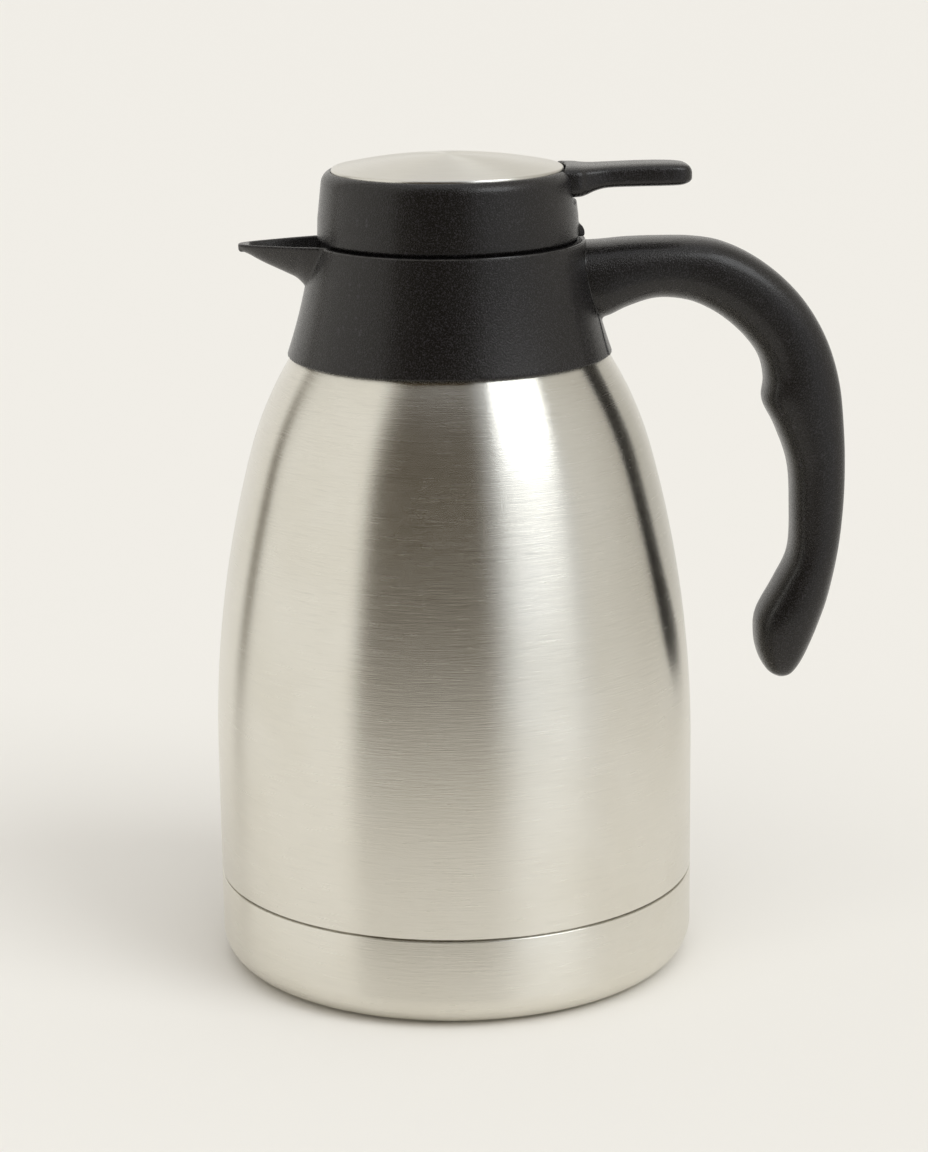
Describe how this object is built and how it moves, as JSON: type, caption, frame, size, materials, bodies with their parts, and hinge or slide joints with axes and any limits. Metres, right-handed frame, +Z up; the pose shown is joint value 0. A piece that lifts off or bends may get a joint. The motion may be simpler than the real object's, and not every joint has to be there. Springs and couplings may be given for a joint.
{
  "type": "thermal carafe",
  "caption": "Double-walled steel vacuum carafe with a black collar, spout and open hook handle, and a screw-in pouring stopper worked by a thumb lever.",
  "frame": {"origin": "centre of the base where it stands on the table, on the flask's axis", "axes": "+Z up along the flask's axis, +X towards the handle, the spout towards -X"},
  "size_m": [0.1804, 0.136, 0.2305],
  "materials": {
    "brushed_body": "fine brush lines round the body, satin",
    "spun_disc": "spun brush lines round the centre, bright rolled edge",
    "liner_steel": "electropolished",
    "fastener_steel": "plain bright",
    "getter_metal": "sintered, matt",
    "black_plastic": "fine spark texture, matt",
    "grey_plastic": "smooth moulded",
    "silicone": "translucent grey, matt"
  },
  "bodies": {
    "carafe": {"outer_shell": "brushed_body", "shell_shoulder": "brushed_body", "liner_shoulder": "liner_steel", "inner_liner": "liner_steel", "liner_bottom": "liner_steel", "outer_bottom": "liner_steel", "evacuation_seal": "fastener_steel", "getter": "getter_metal", "base_cup": "brushed_body", "collar": "black_plastic", "collar_gasket": "silicone", "handle": "black_plastic", "handle_screws": "fastener_steel"},
    "seal_ring": {"stopper_seal": "silicone"},
    "stopper": {"stopper_cap": "black_plastic", "stopper_plug": "grey_plastic", "valve_seat": "grey_plastic", "top_disc": "spun_disc", "lever_pin": "fastener_steel", "cap_screws": "fastener_steel"},
    "lever": {"thumb_lever": "black_plastic"},
    "valve": {"valve_stem": "fastener_steel", "stem_nut": "fastener_steel", "valve_poppet": "grey_plastic", "poppet_seal": "silicone", "poppet_washer": "fastener_steel", "poppet_nut": "fastener_steel", "valve_spring": "fastener_steel"}
  },
  "joints": [
    {"name": "stopper_rise", "type": "slide", "parent": "carafe", "child": "seal_ring", "axis": [0, 0, 1], "range_m": [0, 0.06]},
    {"name": "stopper_turn", "type": "hinge", "parent": "seal_ring", "child": "stopper", "pos_m": [0, 0, 0.19], "axis": [0, 0, 1], "range_deg": [0, 720]},
    {"name": "lever_press", "type": "hinge", "parent": "stopper", "child": "lever", "pos_m": [0.0295, 0, 0.22053], "axis": [0, 1, 0], "range_deg": [0, 8], "stiffness_Nm_per_rad": 0.8, "springref_deg": -4.58},
    {"name": "valve_lift", "type": "slide", "parent": "stopper", "child": "valve", "axis": [0, 0, 1], "range_m": [0, 0.00412], "deforming": ["valve_spring"]}
  ],
  "couplings": [
    {"joint": "stopper_rise", "follows": "stopper_turn", "m_per_rad": 0.0047746},
    {"joint": "valve_lift", "follows": "lever_press", "m_per_rad": 0.0295}
  ]
}
